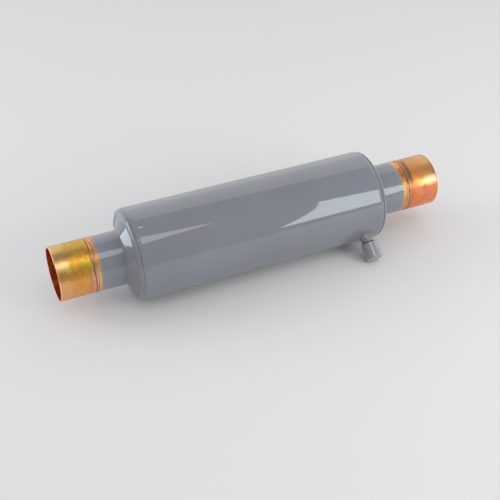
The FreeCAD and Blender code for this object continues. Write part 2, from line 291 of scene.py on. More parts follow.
shell = skin("shell_skin", turned(outline([
    (RIM_OUTLET, SHELL_R - SHELL_WALL, BORE_EDGE),
    (RIM_INLET, SHELL_R - SHELL_WALL, BORE_EDGE),
    (RIM_INLET, SHELL_R, RIM_ROUND, RIM_STEP),
    (RIM_INLET - ROLL_LENGTH, SHELL_R, 0), (RIM_OUTLET + ROLL_LENGTH, SHELL_R, 0, RIM_STEP),
    (RIM_OUTLET, SHELL_R, RIM_ROUND)]), swell=rim_roll))
shell_paint = enamel("shell paint")
here = shell_paint.place()
shell_paint.set(Base_Color=paint_drift(shell_paint, here),
                Roughness=shell_paint.noise(here, 180.0) * 0.12 + 0.36)
orange_peel(shell_paint)
shell.data.materials.append(shell_paint.material)
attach(shell, "filter")
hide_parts("shell_tube")


# End caps. Pressed steel heads with a conical face and a drawn neck, held by a
# wide weld bead that rolls out of the shell's rim. The paint stops in a soft
# uneven line short of the copper, over a strip of neck that the torch tinted.
CAP_WALL = 1.6 * MM
SKIRT = 7.0 * MM
FACE_ANGLE = math.radians(34.0)
FACE_OUT = 0.7 * MM
FACE_R = SHELL_R - 5.65 * MM
NECK_FILLET = 3.0 * MM
# The weld bead's corners: millimetres out of the rim, radius and rounding.
BEAD = ((1.6, 31.06, 3.0), (2.62, 34.4, 2.2), (2.0, 36.9, 1.9), (0.35, 37.55, 0.2))
BEAD_TOP = 37.6 * MM
BEAD_STEP = 0.3 * MM
RIPPLE, RIPPLES, RIPPLE_LEAN = 0.035 * MM, 150, 900
# How far from the rim each neck is painted.
PAINT_EDGE = {"outlet": 29.3 * MM, "inlet": 28.1 * MM}
NECK_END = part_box("outlet_end_cap")[0][0]
NECK_R = 22.05 * MM
OVERALL = RIM_OUTLET + RIM_INLET
STRIP_GOLD = (0.86, 0.48, 0.14)
STRIP_ORANGE = (0.84, 0.30, 0.08)
STRIP_PINK = (0.86, 0.50, 0.34)
STRIP_UMBER = (0.22, 0.09, 0.04)
SEAM_CREAM = (0.92, 0.60, 0.37)
PAINT_SCORCHED = (0.27, 0.25, 0.16)
# How much of each strip's underside is pink.
PINK_BELOW = {"outlet": 0.7, "inlet": 0.1}


def face_x(radius):
    """The conical face's x at a radius, at the outlet end."""
    return RIM_OUTLET - FACE_OUT - math.tan(FACE_ANGLE) * (FACE_R - radius)


def at_end(points, end):
    """The same grid, mirrored about the filter's middle for the inlet end."""
    if end == "inlet":
        points = points * np.array([-1, 1, 1]) + np.array([OVERALL, 0, 0])
    return points


def weld_ripple(x, r, angle):
    """Overlapping crescents of the weld bead: a row of small waves around the
    rim, leaning with x, and a slow unevenness, only on the bead itself."""
    on_bead = np.exp(-((x - RIM_OUTLET + 1.7 * MM) / (0.9 * MM)) ** 2)
    on_bead = on_bead * (r > FACE_R + 0.4 * MM) * (r < SHELL_R - 0.9 * MM)
    wave = np.sin(RIPPLES * angle + RIPPLE_LEAN * (x - RIM_OUTLET))
    return RIPPLE * on_bead * (wave + 0.8 * np.sin(19 * angle + 1.0))


wall_x = CAP_WALL / math.cos(FACE_ANGLE)
skirt_r = SHELL_R - SHELL_WALL - 0.05 * MM
neck_bore = NECK_R - CAP_WALL
cap_profile = outline([
    (NECK_END, neck_bore, 0.2 * MM), (NECK_END, NECK_R, 0.3 * MM),
    (face_x(NECK_R), NECK_R, NECK_FILLET),
    *((RIM_OUTLET - out * MM, r * MM, radius * MM, BEAD_STEP) for out, r, radius in BEAD),
    (RIM_OUTLET, BEAD_TOP, 0.02 * MM),
    (RIM_OUTLET, skirt_r, 0.1 * MM),
    (RIM_OUTLET + SKIRT, skirt_r, 0.5 * MM),
    (RIM_OUTLET + SKIRT, skirt_r - CAP_WALL, 0.5 * MM),
    (face_x(skirt_r - CAP_WALL) + wall_x, skirt_r - CAP_WALL, 1.2 * MM),
    (face_x(neck_bore) + wall_x, neck_bore, NECK_FILLET + CAP_WALL)], step=2 * MM,
    arc_points=12)

for end in ("outlet", "inlet"):
    paint = enamel(end + " cap paint")
    orange_peel(paint)
    here = paint.place()
    x = paint.split(here)[0]
    from_rim = (x - RIM_INLET) if end == "inlet" else (RIM_OUTLET - x)
    ragged = (from_rim + (paint.noise(here, 55.0, 3.0) - 0.5) * (3.4 * MM)
              + (paint.noise(here, 420.0, 3.0) - 0.5) * (1.2 * MM))
    bare = ragged.step(PAINT_EDGE[end] - 0.3 * MM, PAINT_EDGE[end] + 0.7 * MM)

    # The bare strip, patch over patch, and pinker below.
    smoke = paint.noise(here, 110.0, 3.0, 0.6)
    strip = paint.mix(smoke.step(0.42, 0.62), STRIP_GOLD, STRIP_ORANGE)
    strip = two_tone(paint, here, 75.0, 2.0, 0.52, 0.62, strip, STRIP_PINK)
    strip = paint.mix(paint.noise(here, 260.0, 2.0).step(0.6, 0.72) * 0.6, strip, STRIP_UMBER)
    down = (paint.split(here)[2] * (-1 / NECK_R)).step(-0.75, -0.2)
    strip = paint.mix(down * PINK_BELOW[end], strip, STRIP_PINK)

    # Its last millimetre by the copper: a cream edge, then a dark line.
    from_end = RIM_OUTLET - NECK_END - from_rim
    lumpy = from_end + (paint.noise(here, 130.0, 3.0) - 0.5) * (0.9 * MM)
    strip = paint.mix(1 - lumpy.step(0.5 * MM, 0.7 * MM), strip, SEAM_CREAM)
    line = lumpy.step(0.45 * MM, 0.65 * MM) * (1 - lumpy.step(0.9 * MM, 1.15 * MM))
    strip = paint.mix(line * smoke.step(0.3, 0.5) * 0.85, strip, STRIP_UMBER)

    # The paint, scorched towards its edge.
    grey = paint.mix(ragged.step(PAINT_EDGE[end] - 2.6 * MM, PAINT_EDGE[end]) * 0.8,
                     paint_drift(paint, here), PAINT_SCORCHED)
    paint.set(Base_Color=paint.mix(bare, grey, strip), Metallic=bare * 0.95,
              Coat_Weight=1 - bare, Roughness=paint.noise(here, 180.0) * 0.12 + 0.34)
    cap = skin(end + "_cap_skin", at_end(turned(cap_profile, swell=weld_ripple), end))
    cap.data.materials.append(paint.material)
    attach(cap, "filter")
    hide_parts(end + "_end_cap")


# Copper connections. Drawn copper sockets with a thin mouth, brazed into the
# necks. The torch left tints on them: the outlet one runs from olive through
# gold to salmon, the inlet one from tan through bronze to orange red. Pale
# patches by the mouths are painted highlights, and the bores' orange streaks
# are painted glints.
COPPER_WALL = 0.95 * MM
SOCKET_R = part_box("outlet_connection")[1][2]
SOCKET_DEPTH = 26.8 * MM
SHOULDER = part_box("outlet_braze_ring")[0][0]
SPIGOT_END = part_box("outlet_connection")[1][0]
spigot_r = neck_bore - 0.05 * MM
socket_profile = outline([
    (0, SOCKET_R - COPPER_WALL, 0.25 * MM), (0, SOCKET_R, 0.4 * MM),
    (SHOULDER, SOCKET_R, 0.35 * MM), (SHOULDER, spigot_r, 0.05 * MM),
    (SPIGOT_END, spigot_r, 0.3 * MM), (SPIGOT_END, spigot_r - COPPER_WALL, 0.3 * MM),
    (SOCKET_DEPTH, spigot_r - COPPER_WALL, 0.6 * MM),
    (SOCKET_DEPTH, SOCKET_R - COPPER_WALL, 0.4 * MM)], step=1.5 * MM)
INSIDE_RED = (0.72, 0.15, 0.03)
BORE_GLINT_ORANGE = (0.95, 0.42, 0.08)
PALE_MOUTH = (0.96, 0.74, 0.42)
SCALE_BROWN = (0.25, 0.12, 0.045)
SEAM_ROSE = (0.90, 0.58, 0.44)
HEAT_ORANGE = (0.88, 0.32, 0.055)
FLECKS = {"outlet": ((0.95, 0.62, 0.08), (0.58, 0.34, 0.07)),
          "inlet": ((0.95, 0.50, 0.09), (0.80, 0.22, 0.19))}
TARNISH = {"outlet": (0.60, 0.50, 0.09), "inlet": (0.80, 0.26, 0.20)}
COPPER_BASE = {"outlet": (0.83, 0.37, 0.145), "inlet": (0.80, 0.24, 0.10)}
DENT = 0.012 * MM
# Each stain or painted highlight: its colour, its bearing from the top and its
# spread in degrees, its distance from the mouth and its reach in millimetres,
# and its strength.
COPPER_STAINS_AND_HIGHLIGHTS = {
    "outlet": (((0.63, 0.42, 0.15), -8, 34, 4, 9, 0.95),
               ((0.58, 0.36, 0.055), -6, 32, 20, 13, 0.95),
               ((0.50, 0.34, 0.10), 14, 13, 13, 13, 0.75),
               ((0.95, 0.62, 0.055), 45, 22, 19, 15, 0.95),
               # painted highlight: the left softbox's reflection, paler by the mouth
               ((0.96, 0.68, 0.26), 42, 20, 3, 9, 0.85),
               ((0.90, 0.36, 0.05), 27, 11, 22, 6, 0.8),
               ((0.66, 0.52, 0.06), 50, 8, 19, 8, 0.7),
               ((0.66, 0.32, 0.045), 66, 13, 12, 20, 0.9),
               ((0.86, 0.32, 0.06), 88, 12, 19, 5, 0.8),
               ((0.52, 0.27, 0.20), 82, 26, 25.0, 2.4, 0.7)),
    "inlet": (((0.60, 0.34, 0.14), -6, 34, 10, 20, 0.95),
              ((0.76, 0.38, 0.12), 28, 18, 14, 17, 0.8),
              ((0.92, 0.50, 0.14), 48, 18, 13, 13, 0.85),
              ((0.90, 0.34, 0.09), 40, 7, 16, 5, 0.6),
              ((0.90, 0.19, 0.05), 78, 20, 12, 13, 0.8),
              ((0.80, 0.21, 0.19), 84, 14, 12, 7, 0.7),
              ((0.66, 0.28, 0.36), 72, 8, 19, 3, 0.6),
              ((0.92, 0.44, 0.06), 80, 8, 17, 5, 0.5),
              ((0.84, 0.25, 0.13), 106, 26, 12, 16, 0.6),
              # painted highlight: the right softbox's reflection, paler by the mouth
              ((0.98, 0.80, 0.50), 56, 13, 5, 13, 0.6))}


def dents(x, r, angle):
    """Shallow waves that drawing and brazing left in the socket's side."""
    wave = (np.sin(3 * angle + 160 * x) + 0.6 * np.sin(5 * angle - 90 * x + 1.3)
            + 0.4 * np.sin(9 * angle + 300 * x))
    return DENT * wave * (x > 1 * MM) * (x < SHOULDER - 1 * MM)


for end in ("outlet", "inlet"):
    copper = Finish(end + " copper", Metallic=0.85, Specular_IOR_Level=0.3)
    here = copper.place()
    x, y, z = copper.split(here)
    from_mouth = (OVERALL - x) if end == "inlet" else x
    drift = copper.noise(here, 45.0, 4.0, 0.6, 0.5) - 0.5
    streak = copper.noise(here, 120.0, 4.0, 0.65, 0.8) - 0.5
    speck = copper.noise(here, 380.0, 3.0, 0.6)
    bearing = (0 - y).math("ARCTAN2", z) * (180 / math.pi) + drift * 26 + streak * 24
    depth = from_mouth - drift * (9 * MM) + streak * (8 * MM)
    heat = copper.noise(here, 95.0, 5.0, 0.7, 1.2)
    tarnish = copper.noise(copper.place((1.0, 1.0, -1.0)), 130.0, 5.0, 0.7, 1.0)

    # The torch's stains, and the painted highlights by the mouths, each a soft
    # ellipse around its bearing and depth.
    base = COPPER_BASE[end]
    for tint, at, spread, x_mm, reach_mm, strength in COPPER_STAINS_AND_HIGHLIGHTS[end]:
        away = (((bearing - at) / spread) ** 2
                + ((depth - x_mm * MM) / (reach_mm * MM)) ** 2)
        base = copper.mix((1 - away.step(0.35, 1.25)) * strength, base, tint)

    # Mottling and flecks, faint where the mouth was polished.
    ragged = from_mouth + drift * (9 * MM) + streak * (5 * MM)
    polished = 1 - ragged.step(8.5 * MM, 11.5 * MM)
    base = copper.mix(heat.step(0.46, 0.68) * (0.66 - polished * 0.45), base, HEAT_ORANGE)
    base = copper.mix(tarnish.step(0.50, 0.76) * (0.50 - polished * 0.42), base,
                      TARNISH[end])
    fleck = copper.noise(here, 420.0, 4.0, 0.7, 0.6)
    fresh, burnt = FLECKS[end]
    lively = (1 - polished * 0.7) if end == "outlet" else bearing.step(54, 76) * 0.8 + 0.2
    base = copper.mix(fleck.step(0.51, 0.64) * 0.5 * lively, base, fresh)
    base = copper.mix((1 - fleck.step(0.36, 0.49)) * 0.5 * lively, base, burnt)

    # The polished mouth, its rim and small dark specks.
    base = copper.mix(polished * (0.12 if end == "outlet" else 0.08), base, PALE_MOUTH)
    base = copper.mix((1 - from_mouth.step(0.3 * MM, 1.6 * MM)) * 0.5, base,
                      PALE_MOUTH if end == "outlet" else SCALE_BROWN)
    base = copper.mix(speck.step(0.58, 0.74) * 0.18, base, SCALE_BROWN)

    # Rings of rose and brown towards the seam, and painted shade along the
    # shoulder's edge by the braze.
    near_seam = from_mouth.step(SHOULDER - 5.5 * MM, SHOULDER - 1.5 * MM)
    rings = copper.noise(copper.place((1400, 45, 45)), 1.0, 2.0)
    rosy = bearing.step(52, 70) if end == "outlet" else 1 - bearing.step(60, 80) * 0.6
    base = copper.mix(near_seam * rosy * rings.step(0.5, 0.62) * 0.6, base, SEAM_ROSE)
    base = copper.mix(near_seam * (1 - rings.step(0.36, 0.44)) * 0.6, base, SCALE_BROWN)
    if end == "inlet":
        upper = bearing.step(-30, -6) * (1 - bearing.step(46, 62) * 0.75)
        lean = from_mouth + streak * (3.5 * MM) - bearing * (0.02 * MM)
        scale = lean.step(21.6 * MM, 23.2 * MM) * (1 - lean.step(25.6 * MM, 27.0 * MM) * 0.6)
        base = copper.mix(scale * upper * (speck * 0.5 + 0.5), base, SCALE_BROWN)
    # painted shade in the crease at the shoulder
    base = copper.mix(from_mouth.step(SHOULDER - 0.8 * MM, SHOULDER - 0.2 * MM) * 0.6, base,
                      SCALE_BROWN)

    # The bore, red with orange streaks painted as glints of reflected light, and
    # the drawn grain.
    across = (y * y + z * z) ** 0.5
    outside = across.step(SOCKET_R - 0.75 * MM, SOCKET_R - 0.35 * MM)
    # painted glints: orange streaks of reflected light in the bore
    inside = copper.mix(streak.step(0.02, 0.14), INSIDE_RED, BORE_GLINT_ORANGE)
    base = copper.mix(outside, inside, base)
    grain = copper.noise(copper.place((900, 70, 70)), 1.0, 2.0)
    copper.set(Base_Color=base,
               Roughness=grain * 0.10 + speck * 0.10 + 0.18 + outside * 0.11
               - polished * 0.07)
    copper.bump(grain * 0.32 + speck * 0.16 + drift * 4, 0.012 * MM)
    socket = skin(end + "_socket", at_end(turned(socket_profile, swell=dents), end))
    socket.data.materials.append(copper.material)
    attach(socket, "filter")
    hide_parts(end + "_connection")


# Braze seams. A thin run of braze alloy fills the gap between the copper's
# shoulder and the steel neck, bright on its crown, with painted shade on its
# flank along the shoulder, and uneven all the way round.
seam_low, seam_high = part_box("outlet_braze_ring")
SEAM_X = (seam_low[0] + seam_high[0]) / 2
SEAM_WIDTH = seam_high[0] - seam_low[0]
BRAZE_BRIGHT = (0.80, 0.62, 0.50)
BRAZE_PINK = (0.70, 0.38, 0.26)
CREASE_SHADE = (0.10, 0.045, 0.03)
RUN_LUMP = 0.09 * MM
seam_left, seam_right = SEAM_X - SEAM_WIDTH / 2, SEAM_X + SEAM_WIDTH / 2
seam_foot, seam_crown = NECK_R - 0.3 * MM, NECK_R - 0.1 * MM


def braze_run(x, r, angle):
    """Lumps of the run: slow and quick waves around, only on its outer side."""
    outside = r > spigot_r + 1.0 * MM
    wave = (0.5 * np.sin(5 * angle + 0.7) + 0.35 * np.sin(13 * angle + 2.1)
            + 0.25 * np.sin(31 * angle))
    return RUN_LUMP * outside * wave


seam_profile = outline([
    (seam_left, spigot_r, 0.05 * MM), (seam_right, spigot_r, 0.05 * MM),
    (seam_right, seam_foot, 0.05 * MM), (SEAM_X + 0.2 * MM, seam_crown, 0.15 * MM),
    (SEAM_X - 0.2 * MM, seam_crown, 0.15 * MM), (seam_left, seam_foot, 0.05 * MM)],
    step=0.3 * MM)
for end in ("outlet", "inlet"):
    braze = Finish(end + " braze", Metallic=1.0)
    here = braze.place()
    x = braze.split(here)[0]
    to_mouth = x - (OVERALL - SEAM_X) if end == "inlet" else SEAM_X - x
    patch = braze.noise(here, 160.0, 4.0, 0.6)
    crown = braze.mix(patch.step(0.4, 0.6), BRAZE_BRIGHT, BRAZE_PINK)
    # painted shade on the flank, in the crease by the copper's shoulder
    shaded_flank = (to_mouth + (patch - 0.5) * (0.6 * MM)).step(0.05 * MM, 0.25 * MM) * 0.9
    braze.set(Base_Color=braze.mix(shaded_flank, crown, CREASE_SHADE), Roughness=patch * 0.3 + 0.15)
    braze.bump(braze.noise(here, 900.0, 3.0), 0.02 * MM)
    run = skin(end + "_braze_run", at_end(turned(seam_profile, swell=braze_run), end))
    run.data.materials.append(braze.material)
    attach(run, "filter")
    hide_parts(end + "_braze_ring")


# Access stem. A turned steel stem set through the shell's wall and brazed there,
# painted with the shell up to its screw thread, which is cut to full depth and
# bored for the valve core. The thread relief is painted near black as the shade
# under the cap's mouth.
lift = next(joint for joint in frame["joints"] if joint["name"] == "cap_lift")
turn = next(joint for joint in frame["joints"] if joint["name"] == "cap_turn")
VALVE_ALONG = np.array(lift["axis"]) / np.linalg.norm(lift["axis"])
VALVE_SIDE = np.array((1.0, 0.0, 0.0))
VALVE_ACROSS = np.cross(VALVE_ALONG, VALVE_SIDE)
VALVE_FOOT = np.array((turn["pos_m"][0], 0.0, 0.0))
STEM_TOP = float((np.array(turn["pos_m"]) - VALVE_FOOT) @ VALVE_ALONG)
STEM_R = 5.35 * MM
STEM_SPIGOT_R = 4.75 * MM
STEM_INNER_END = SHELL_R - 2.6 * MM
THREAD_R = 5.5 * MM
THREAD_START = SHELL_R + 7.25 * MM
RELIEF_START = SHELL_R + 5.0 * MM
RELIEF_R = 4.8 * MM
THREAD_PITCH = 1.27 * MM
THREAD_DEPTH = 0.62 * MM
CORE_WAY = 2.66 * MM
STEM_BORE = 2.2 * MM
SEAT_TOP = STEM_TOP - 8.6 * MM
SEAT_TAPER = 1.0 * MM
LEAD_IN = 0.6 * MM
STEM_GREY = (0.235, 0.238, 0.255)
STEM_WORN = (0.20, 0.20, 0.21)
RELIEF_SHADE = (0.035, 0.034, 0.036)
THREAD_STEEL = (0.56, 0.53, 0.46)


def on_valve(points):
    """Points (s, a, b) laid out from the shell's axis: s along the valve, a along
    the shell and b across both."""
    return (VALVE_FOOT + points[..., :1] * VALVE_ALONG + points[..., 1:2] * VALVE_SIDE
            + points[..., 2:] * VALVE_ACROSS)


def along_valve(finish, way):
    """A place's distance from the valve's foot, in one of the valve's directions."""
    from_foot = finish.add("ShaderNodeVectorMath", {"operation": "SUBTRACT"},
                           finish.place(), tuple(VALVE_FOOT))[0]
    return finish.add("ShaderNodeVectorMath", {"operation": "DOT_PRODUCT"}, from_foot,
                      tuple(float(v) for v in way))[1]


def thread_wave(s, angle):
    """0 at a thread's crest and 1 at its root: a rounded triangle wave of
    s / pitch less the turn, so that it climbs one pitch each turn."""
    share = (s / THREAD_PITCH - angle / (2 * math.pi)) % 1.0
    wave = np.abs(2 * share - 1)
    return wave * wave * (3 - 2 * wave) * 0.5 + wave * 0.5


def stem_thread(s, r, angle):
    """The thread's grooves, fading out at its two ends."""
    here = np.clip((s - THREAD_START) / (0.8 * MM), 0, 1)
    here = here * (r > THREAD_R - 0.75 * MM) * (s > THREAD_START)
    return -THREAD_DEPTH * here * thread_wave(s, angle)


stem_profile = outline([
    (STEM_INNER_END, STEM_BORE, 0.2 * MM), (STEM_INNER_END, STEM_SPIGOT_R, 0.2 * MM),
    (SHELL_R - 1.3 * MM, STEM_SPIGOT_R, 0), (SHELL_R - 1.3 * MM, STEM_R, 0),
    (RELIEF_START - 0.3 * MM, STEM_R, 0), (RELIEF_START, RELIEF_R, 0),
    (THREAD_START - 0.4 * MM, RELIEF_R, 0), (THREAD_START, THREAD_R, 0, 0.1 * MM),
    (STEM_TOP - LEAD_IN, THREAD_R, 0, 0.1 * MM), (STEM_TOP, THREAD_R - LEAD_IN, 0.1 * MM),
    (STEM_TOP, CORE_WAY, 0.15 * MM), (SEAT_TOP, CORE_WAY, 0.1 * MM),
    (SEAT_TOP - SEAT_TAPER, STEM_BORE, 0.1 * MM)], step=1 * MM)
stem_paint = enamel("stem paint", gloss=0.05)
orange_peel(stem_paint)
along = along_valve(stem_paint, VALVE_ALONG)
here = stem_paint.place()
steel = along.step(THREAD_START - 0.8 * MM, THREAD_START - 0.5 * MM)
shade = two_tone(stem_paint, here, 90.0, 3.0, 0.4, 0.65, STEM_GREY, STEM_WORN)
# painted shade: the thread relief near black under the cap's mouth
shaded_relief = along.step(RELIEF_START - 0.25 * MM, RELIEF_START - 0.05 * MM)
shade = stem_paint.mix(shaded_relief, shade, RELIEF_SHADE)
stem_paint.set(Base_Color=stem_paint.mix(steel, shade, THREAD_STEEL), Metallic=steel,
               Coat_Weight=1 - shaded_relief, Roughness=stem_paint.noise(here, 700.0) * 0.15 + 0.28)
stem = skin("stem_skin", on_valve(turned(stem_profile, 96, swell=stem_thread)))
stem.data.materials.append(stem_paint.material)
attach(stem, "filter")
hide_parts("access_stem")


# Stem fillet. The braze that holds the stem lies in a small uneven collar in
# the corner between stem and shell, painted over, with small beads in it and
# pale specks painted on as highlights.
FILLET_WIDTH = 1.75 * MM
FILLET_HEIGHT = 1.45 * MM
FILLET_GREY = (0.20, 0.205, 0.23)
FILLET_WORN = (0.16, 0.16, 0.17)
FILLET_GLINT = (0.52, 0.53, 0.56)


def fillet_points(across_steps=14, around=160):
    """Grid of the collar. At angle t round the stem and share u across it, the
    point lies at stem radius + width(t) u, above the shell's round side by
    height(t) (1 - u) squared; the same line is followed back below the side."""
    t = 2 * math.pi * np.arange(around)[None, :] / around
    u = np.linspace(0, 1, across_steps)[:, None]
    lumps = 0.10 * np.sin(3 * t + 0.4) + 0.07 * np.sin(7 * t) + 0.05 * np.sin(16 * t + 1)
    out = STEM_R - 0.1 * MM + FILLET_WIDTH * (0.83 + lumps) * u
    rise = FILLET_HEIGHT * (0.85 + lumps) * (1 - u) ** 2 - 0.04 * MM * (u > 0.99)
    beads = 0.05 * MM * np.sin(29 * t + 9 * u) * np.sin(math.pi * u)
    side = np.sqrt(SHELL_R ** 2 - (out * np.sin(t)) ** 2)
    top = np.stack([side + rise + beads, out * np.cos(t), out * np.sin(t)], -1)
    below = np.stack([side - 0.4 * MM, out * np.cos(t), out * np.sin(t)], -1)[::-1]
    return np.concatenate([top, below])


fillet_paint = enamel("fillet paint", gloss=0.06)
here = fillet_paint.place()
shade = two_tone(fillet_paint, here, 200.0, 2.0, 0.4, 0.6, FILLET_GREY, FILLET_WORN)
# pale specks painted on as highlights of the collar
shade = two_tone(fillet_paint, here, 650.0, 2.0, 0.62, 0.68, shade, FILLET_GLINT)
fillet_paint.set(Base_Color=shade, Roughness=fillet_paint.noise(here, 180.0) * 0.12 + 0.36)
fillet_paint.bump(fillet_paint.noise(here, 500.0, 3.0), 0.08 * MM)
fillet = skin("stem_fillet_skin", on_valve(fillet_points()))
fillet.data.materials.append(fillet_paint.material)
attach(fillet, "filter")
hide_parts("stem_braze_fillet")


# Valve core. Small brass turnings: a threaded plug with a screwdriver tang over
# a barrel with a red seal, and a steel pin that carries a brass cup and a
# purple seal. A fine steel spring in the barrel keeps the pin shut.
CORE_PITCH = 0.70 * MM
CORE_THREAD_DEPTH = 0.18 * MM
TOOL_MARK = 0.004 * MM
BRASS, BRASS_DULL = (0.83, 0.58, 0.22), (0.62, 0.41, 0.16)
CUP_BRASS = (0.80, 0.60, 0.28)
PIN_STEEL, PIN_DULL = (0.66, 0.64, 0.60), (0.52, 0.50, 0.46)
SEAL_RED, SEAL_RED_WORN = (0.45, 0.045, 0.03), (0.34, 0.03, 0.025)
SEAL_PURPLE, SEAL_PURPLE_WORN = (0.15, 0.06, 0.26), (0.10, 0.04, 0.18)


def dress(name, finish):
    """Gives a CAD node its material."""
    node = frame["nodes"][name]
    if not node.material_slots:
        node.data.materials.append(finish.material)
    for place in node.material_slots:
        place.material = finish.material


def turned_metal(name, colour, dull, rough=0.22, grain=(600, 600, 600)):
    """Bare turned metal: two tones, fine tool marks and uneven roughness."""
    metal = Finish(name, Metallic=1.0)
    marks = metal.noise(metal.place(grain), 1.0, 2.0)
    metal.set(Base_Color=two_tone(metal, metal.place(), 220.0, 3.0, 0.4, 0.65, colour, dull),
              Roughness=marks * 0.16 + rough)
    metal.bump(marks, TOOL_MARK)
    return metal


def rubber(name, colour, worn):
    """Moulded seal: two close tones and a fine matt grain."""
    seal = Finish(name, Specular_IOR_Level=0.4)
    here = seal.place()
    seal.set(Base_Color=two_tone(seal, here, 350.0, 3.0, 0.4, 0.65, colour, worn),
             Roughness=seal.noise(here, 900.0) * 0.2 + 0.45)
    seal.bump(seal.noise(here, 1800.0, 2.0), 0.01 * MM)
    return seal


# The plug's thread takes the place of its tool marks: a sine that climbs one
# pitch each turn, only on the plug's outer side.
plug = turned_metal("core plug brass", BRASS, BRASS_DULL)
s, a, b = (along_valve(plug, way) for way in (VALVE_ALONG, VALVE_SIDE, VALVE_ACROSS))
climb = s * (2 * math.pi / CORE_PITCH) - b.math("ARCTAN2", a)
outer_side = (a * a + b * b).math("SQRT").step(2.3 * MM, 2.5 * MM)
plug.bump(climb.math("SINE") * outer_side, CORE_THREAD_DEPTH)
dress("core_plug", plug)
dress("core_barrel", turned_metal("core barrel brass", BRASS, BRASS_DULL))
dress("core_plunger_cup", turned_metal("core cup brass", CUP_BRASS, BRASS_DULL))
dress("core_pin", turned_metal("core pin steel", PIN_STEEL, PIN_DULL, 0.18))
dress("core_barrel_seal", rubber("core seal red", SEAL_RED, SEAL_RED_WORN))
dress("core_plunger_seal", rubber("core seal purple", SEAL_PURPLE, SEAL_PURPLE_WORN))

CORE_SPRING_FOOT = STEM_TOP - 15.7 * MM
CORE_SPRING_TOP = STEM_TOP - 9.7 * MM
CORE_SPRING_R = 0.965 * MM
CORE_SPRING_WIRE = 0.28 * MM
CORE_SPRING_STEEL, CORE_SPRING_DULL = (0.60, 0.59, 0.57), (0.45, 0.44, 0.42)
COIL_GAP = 0.03 * MM


def coil(start, end, first_r, last_r, turns, wire, steps_per_turn=40, sides=14):
    """Round wire along a coil: the centre goes round X once a turn while its x
    and its radius grow evenly, but for the half turn at each end, which lies
    flat. Each ring of the wire stands across the centre line there, and the
    line's two ends close to a point."""
    turn_at = np.linspace(0, turns, int(turns * steps_per_turn) + 1)
    live = np.clip((turn_at - 0.5) / (turns - 1), 0, 1)
    x = start + COIL_GAP + wire / 2 + (end - start - wire - 2 * COIL_GAP) * live
    r = first_r + (last_r - first_r) * live
    heading = 2 * math.pi * turn_at
    centre = np.stack([x, r * np.cos(heading), r * np.sin(heading)], 1)
    tangent = np.gradient(centre, axis=0)
    tangent /= np.linalg.norm(tangent, axis=1)[:, None]
    out = centre * np.array([0, 1, 1])
    out -= tangent * np.einsum("ij,ij->i", out, tangent)[:, None]
    out /= np.linalg.norm(out, axis=1)[:, None]
    side = np.cross(tangent, out)
    angle = 2 * math.pi * np.arange(sides) / sides
    ring = (out[:, None] * np.cos(angle)[None, :, None]
            + side[:, None] * np.sin(angle)[None, :, None]) * wire / 2
    body = centre[:, None] + ring
    caps = [np.repeat(centre[i][None, None], sides, 1) for i in (0, -1)]
    return np.concatenate([caps[0], body, caps[1]])


core_coil = skin("core_coil", on_valve(coil(
    CORE_SPRING_FOOT, CORE_SPRING_TOP, CORE_SPRING_R, CORE_SPRING_R, 7, CORE_SPRING_WIRE,
    steps_per_turn=28, sides=10)), wrap=False, poles=True)
core_coil.data.materials.append(turned_metal(
    "core spring steel", CORE_SPRING_STEEL, CORE_SPRING_DULL).material)
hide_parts("core_spring")
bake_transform(core_coil)


# Valve cap and its washer. A turned cap with a smooth grey finish screws over
# the stem; its mouth is chamfered, its far end well rounded, and the thread is
# cut inside. A soft black washer lies under its crown.
CAP_R = 6.85 * MM
CAP_START = SHELL_R + 5.85 * MM
CAP_END = CAP_START + 14.4 * MM
CAP_CROWN_ROUND = 1.3 * MM
CAP_CHAMFER = 0.4 * MM
CAP_BORE = THREAD_R + 0.06 * MM
CAP_THREAD_DEPTH = 0.5 * MM
CAP_ROOF = STEM_TOP + 0.9 * MM
CAP_GREY = (0.240, 0.243, 0.268)
CAP_WORN = (0.222, 0.224, 0.244)
WASHER_BLACK, WASHER_WORN = (0.022, 0.022, 0.024), (0.04, 0.04, 0.042)


def cap_thread(s, r, angle):
    """The groove inside the cap, on the same helix as the stem's thread."""
    inside = (r < CAP_BORE + 0.05 * MM) & (r > CAP_BORE - 0.05 * MM)
    fade = np.clip((s - CAP_START - 0.5 * MM) / (0.6 * MM), 0, 1)
    fade = fade * np.clip((CAP_ROOF - 1 * MM - s) / (0.6 * MM), 0, 1)
    return CAP_THREAD_DEPTH * inside * fade * (1 - thread_wave(s, angle))


# The profile's two ends lie on the axis, so the run that joins them is cut off.
cap_side = outline([
    (CAP_END, 0, 0), (CAP_END, CAP_R, CAP_CROWN_ROUND),
    (CAP_START + CAP_CHAMFER, CAP_R, 0.1 * MM), (CAP_START, CAP_R - CAP_CHAMFER, 0.1 * MM),
    (CAP_START, CAP_BORE, 0, 0.1 * MM), (CAP_ROOF, CAP_BORE, 0), (CAP_ROOF, 0, 0)],
    step=1 * MM, arc_points=10)
cap_side = cap_side[:np.flatnonzero((cap_side == (CAP_ROOF, 0)).all(1))[0] + 1]
satin = Finish("cap satin grey", Coat_Weight=1.0, Coat_Roughness=0.06, Coat_IOR=1.7,
               Specular_IOR_Level=0.4)
here = satin.place()
turning = satin.noise(satin.place((1500, 260, 260)), 1.0, 2.0)
satin.set(Base_Color=two_tone(satin, here, 120.0, 3.0, 0.4, 0.65, CAP_GREY, CAP_WORN),
          Roughness=satin.noise(here, 800.0) * 0.12 + 0.3)
satin.bump(satin.noise(here, 1500.0, 2.0) + turning * 0.4, 0.006 * MM)
valve_cap = skin("valve_cap_skin", on_valve(turned(cap_side, 96, swell=cap_thread)),
                 wrap=False, poles=True)
valve_cap.data.materials.append(satin.material)
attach(valve_cap, "valve_cap")
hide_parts("access_cap")
dress("cap_gasket", rubber("cap washer black", WASHER_BLACK, WASHER_WORN))


